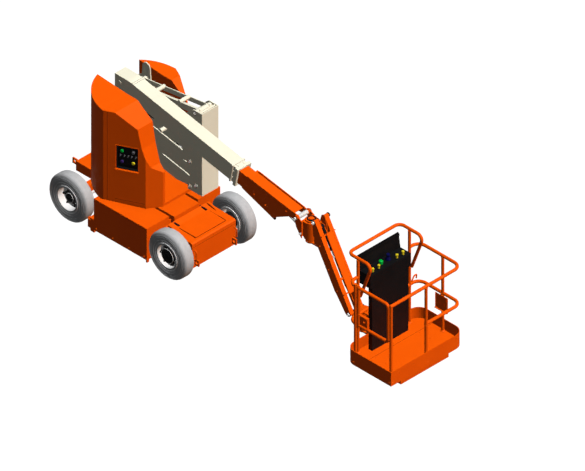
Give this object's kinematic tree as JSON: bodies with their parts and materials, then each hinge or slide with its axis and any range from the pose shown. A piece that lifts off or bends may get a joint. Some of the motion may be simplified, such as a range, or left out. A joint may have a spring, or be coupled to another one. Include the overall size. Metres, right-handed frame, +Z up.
{
  "type": "articulating boom lift",
  "caption": "Electric articulating boom lift: wheeled chassis, swinging turntable with twin hoods, folding tower, telescopic boom, jib and railed platform.",
  "frame": {"origin": "on the ground, at the centre of the box around the machine", "axes": "+X forward to the platform, +Y to the left, +Z up"},
  "size_m": [5.7005, 1.22, 2.011],
  "materials": {
    "orange_paint": "gloss paint",
    "cream_paint": "gloss paint",
    "black_metal": "satin paint",
    "steel": "bright steel",
    "tyre": "grey rubber",
    "rim": "gloss paint",
    "battery": "moulded case",
    "casting": "painted casting",
    "black_plastic": "moulded",
    "control_knobs": "moulded"
  },
  "bodies": {
    "chassis": {"chassis_frame": "orange_paint", "drive_cover": "orange_paint", "battery_packs": "battery", "drive_axle": "black_metal", "steer_axle": "orange_paint", "slew_ring": "black_metal"},
    "steer_left": {"steer_knuckle_left": "black_metal"},
    "steer_right": {"steer_knuckle_right": "black_metal"},
    "steer_rod": {"steer_rod": "steel"},
    "drive_wheel_left": {"drive_tyre_left": "tyre", "drive_wheel_left": "rim"},
    "drive_wheel_right": {"drive_tyre_right": "tyre", "drive_wheel_right": "rim"},
    "steer_wheel_left": {"steer_tyre_left": "tyre", "steer_wheel_left": "rim"},
    "steer_wheel_right": {"steer_tyre_right": "tyre", "steer_wheel_right": "rim"},
    "turntable": {"turntable_base": "orange_paint", "hood_right": "orange_paint", "hood_left": "orange_paint", "counterweight": "casting", "ground_controls": "black_plastic"},
    "lower_arm": {"lower_arm": "cream_paint"},
    "lower_link": {"lower_link": "cream_paint"},
    "tower_barrel": {"tower_barrel": "black_metal"},
    "tower_rod": {"tower_rod": "steel"},
    "mid_upright": {"mid_upright": "cream_paint"},
    "upper_arm": {"upper_arm": "cream_paint"},
    "upper_link": {"upper_link": "cream_paint"},
    "top_upright": {"top_upright": "cream_paint"},
    "boom_barrel": {"boom_barrel": "black_metal"},
    "boom_rod": {"boom_rod": "steel"},
    "boom": {"boom_base": "cream_paint"},
    "fly": {"fly_boom": "orange_paint"},
    "level_rod": {"level_rod": "steel"},
    "jib_mount": {"jib_mount": "orange_paint"},
    "jib_turret": {"jib_turret": "orange_paint"},
    "jib_arm": {"jib_arm": "orange_paint"},
    "jib_link": {"jib_link": "orange_paint"},
    "jib_barrel": {"jib_barrel": "black_metal"},
    "jib_rod": {"jib_rod": "steel"},
    "jib_head": {"jib_head": "orange_paint"},
    "platform": {"platform_mount": "orange_paint", "platform_floor": "orange_paint", "platform_rails": "orange_paint", "console_guard": "orange_paint", "control_console": "black_plastic", "console_controls": "control_knobs"},
    "gate": {"platform_gate": "orange_paint"}
  },
  "joints": [
    {"name": "drive_spin_left", "type": "hinge", "parent": "chassis", "child": "drive_wheel_left", "pos_m": [-0.88275, 0.521, 0.3175], "axis": [0, 1, 0], "continuous": true},
    {"name": "drive_spin_right", "type": "hinge", "parent": "chassis", "child": "drive_wheel_right", "pos_m": [-0.88275, -0.521, 0.3175], "axis": [0, 1, 0], "continuous": true},
    {"name": "steer_left", "type": "hinge", "parent": "chassis", "child": "steer_left", "pos_m": [-2.53275, 0.455, 0.3175], "axis": [0, 0, 1], "range_deg": [-35, 35]},
    {"name": "steer_right", "type": "hinge", "parent": "chassis", "child": "steer_right", "pos_m": [-2.53275, -0.455, 0.3175], "axis": [0, 0, 1], "range_deg": [-36, 36]},
    {"name": "steer_rod_slide", "type": "slide", "parent": "chassis", "child": "steer_rod", "axis": [0, 1, 0], "range_m": [-0.075, 0.075]},
    {"name": "steer_spin_left", "type": "hinge", "parent": "steer_left", "child": "steer_wheel_left", "pos_m": [-2.53275, 0.521, 0.3175], "axis": [0, 1, 0], "continuous": true},
    {"name": "steer_spin_right", "type": "hinge", "parent": "steer_right", "child": "steer_wheel_right", "pos_m": [-2.53275, -0.521, 0.3175], "axis": [0, 1, 0], "continuous": true},
    {"name": "swing", "type": "hinge", "parent": "chassis", "child": "turntable", "pos_m": [-1.88275, 0, 0.6], "axis": [0, 0, 1], "range_deg": [-175, 175]},
    {"name": "tower_lift", "type": "hinge", "parent": "turntable", "child": "lower_arm", "pos_m": [-2.16775, 0.238, 1.352], "axis": [0, -1, 0], "range_deg": [0, 70]},
    {"name": "lower_link_turn", "type": "hinge", "parent": "turntable", "child": "lower_link", "pos_m": [-2.16775, 0.238, 0.999], "axis": [0, -1, 0], "range_deg": [-1, 71]},
    {"name": "tower_ram_turn", "type": "hinge", "parent": "turntable", "child": "tower_barrel", "pos_m": [-2.16775, 0.238, 0.999], "axis": [0, -1, 0], "range_deg": [-1, 56.42]},
    {"name": "tower_ram_slide", "type": "slide", "parent": "tower_barrel", "child": "tower_rod", "axis": [0.9758, 0, 0.2188], "range_m": [-0.005, 0.3238]},
    {"name": "mid_level", "type": "hinge", "parent": "lower_arm", "child": "mid_upright", "pos_m": [-1.20184, 0.238, 1.16949], "axis": [0, -1, 0], "range_deg": [-71, 1]},
    {"name": "upper_arm_lift", "type": "hinge", "parent": "mid_upright", "child": "upper_arm", "pos_m": [-1.11775, 0.238, 1.903], "axis": [0, 1, 0], "range_deg": [-1, 71]},
    {"name": "upper_link_turn", "type": "hinge", "parent": "mid_upright", "child": "upper_link", "pos_m": [-1.21575, 0.238, 1.822], "axis": [0, 1, 0], "range_deg": [-1, 71]},
    {"name": "top_level", "type": "hinge", "parent": "upper_arm", "child": "top_upright", "pos_m": [-2.17734, 0.238, 1.75408], "axis": [0, 1, 0], "range_deg": [-71, 1]},
    {"name": "boom_lift", "type": "hinge", "parent": "top_upright", "child": "boom", "pos_m": [-2.17775, 0, 1.915], "axis": [0, -1, 0], "range_deg": [0, 81]},
    {"name": "boom_ram_turn", "type": "hinge", "parent": "top_upright", "child": "boom_barrel", "pos_m": [-2.11775, 0, 1.618], "axis": [0, -1, 0], "range_deg": [-1, 68.84]},
    {"name": "boom_ram_slide", "type": "slide", "parent": "boom_barrel", "child": "boom_rod", "axis": [0.998, 0, 0.0626], "range_m": [-0.005, 0.3677]},
    {"name": "telescope", "type": "slide", "parent": "boom", "child": "fly", "axis": [0.9806, 0, -0.1959], "range_m": [0, 1.1]},
    {"name": "mount_level", "type": "hinge", "parent": "fly", "child": "jib_mount", "pos_m": [0.77225, 0, 1.45], "axis": [0, -1, 0], "range_deg": [-82, 1]},
    {"name": "level_rod_turn", "type": "hinge", "parent": "jib_mount", "child": "level_rod", "pos_m": [0.79725, 0, 1.232], "axis": [0, -1, 0], "range_deg": [-1, 94]},
    {"name": "jib_swing", "type": "hinge", "parent": "jib_mount", "child": "jib_turret", "pos_m": [0.91925, 0, 1.3], "axis": [0, 0, 1], "range_deg": [-90, 90]},
    {"name": "jib_lift", "type": "hinge", "parent": "jib_turret", "child": "jib_arm", "pos_m": [1.07425, 0, 1.538], "axis": [0, -1, 0], "range_deg": [0, 144]},
    {"name": "jib_link_turn", "type": "hinge", "parent": "jib_turret", "child": "jib_link", "pos_m": [1.10544, 0, 1.39128], "axis": [0, -1, 0], "range_deg": [-1, 145]},
    {"name": "jib_ram_turn", "type": "hinge", "parent": "jib_turret", "child": "jib_barrel", "pos_m": [1.09453, 0, 1.44008], "axis": [0, -1, 0], "range_deg": [-1, 144.49]},
    {"name": "jib_ram_slide", "type": "slide", "parent": "jib_barrel", "child": "jib_rod", "axis": [0.5634, 0, -0.8262], "range_m": [-0.005, 0.1998]},
    {"name": "head_level", "type": "hinge", "parent": "jib_arm", "child": "jib_head", "pos_m": [1.65889, 0, 0.51301], "axis": [0, -1, 0], "range_deg": [-145, 1]},
    {"name": "platform_turn", "type": "hinge", "parent": "jib_head", "child": "platform", "pos_m": [1.79225, 0, 0.45], "axis": [0, 0, 1], "range_deg": [-90, 90]},
    {"name": "gate_swing", "type": "hinge", "parent": "platform", "child": "gate", "pos_m": [2.28025, -0.581, 1.17], "axis": [0, 0, 1], "range_deg": [0, 65]}
  ],
  "couplings": [
    {"joint": "steer_right", "follows": "steer_left", "ratio": 1},
    {"joint": "steer_rod_slide", "follows": "steer_left", "m_per_rad": 0.10329},
    {"joint": "lower_link_turn", "follows": "tower_lift", "ratio": 1},
    {"joint": "tower_ram_turn", "follows": "tower_lift", "ratio": 0.77736},
    {"joint": "tower_ram_slide", "follows": "tower_lift", "m_per_rad": 0.25686},
    {"joint": "mid_level", "follows": "tower_lift", "ratio": -1},
    {"joint": "upper_arm_lift", "follows": "tower_lift", "ratio": 1},
    {"joint": "upper_link_turn", "follows": "tower_lift", "ratio": 1},
    {"joint": "top_level", "follows": "tower_lift", "ratio": -1},
    {"joint": "boom_ram_turn", "follows": "boom_lift", "ratio": 0.82524},
    {"joint": "boom_ram_slide", "follows": "boom_lift", "m_per_rad": 0.25301},
    {"joint": "mount_level", "follows": "boom_lift", "ratio": -1},
    {"joint": "level_rod_turn", "follows": "boom_lift", "ratio": 1.136},
    {"joint": "jib_link_turn", "follows": "jib_lift", "ratio": 1},
    {"joint": "jib_ram_turn", "follows": "jib_lift", "ratio": 0.98948},
    {"joint": "jib_ram_slide", "follows": "jib_lift", "m_per_rad": 0.07552},
    {"joint": "head_level", "follows": "jib_lift", "ratio": -1}
  ]
}
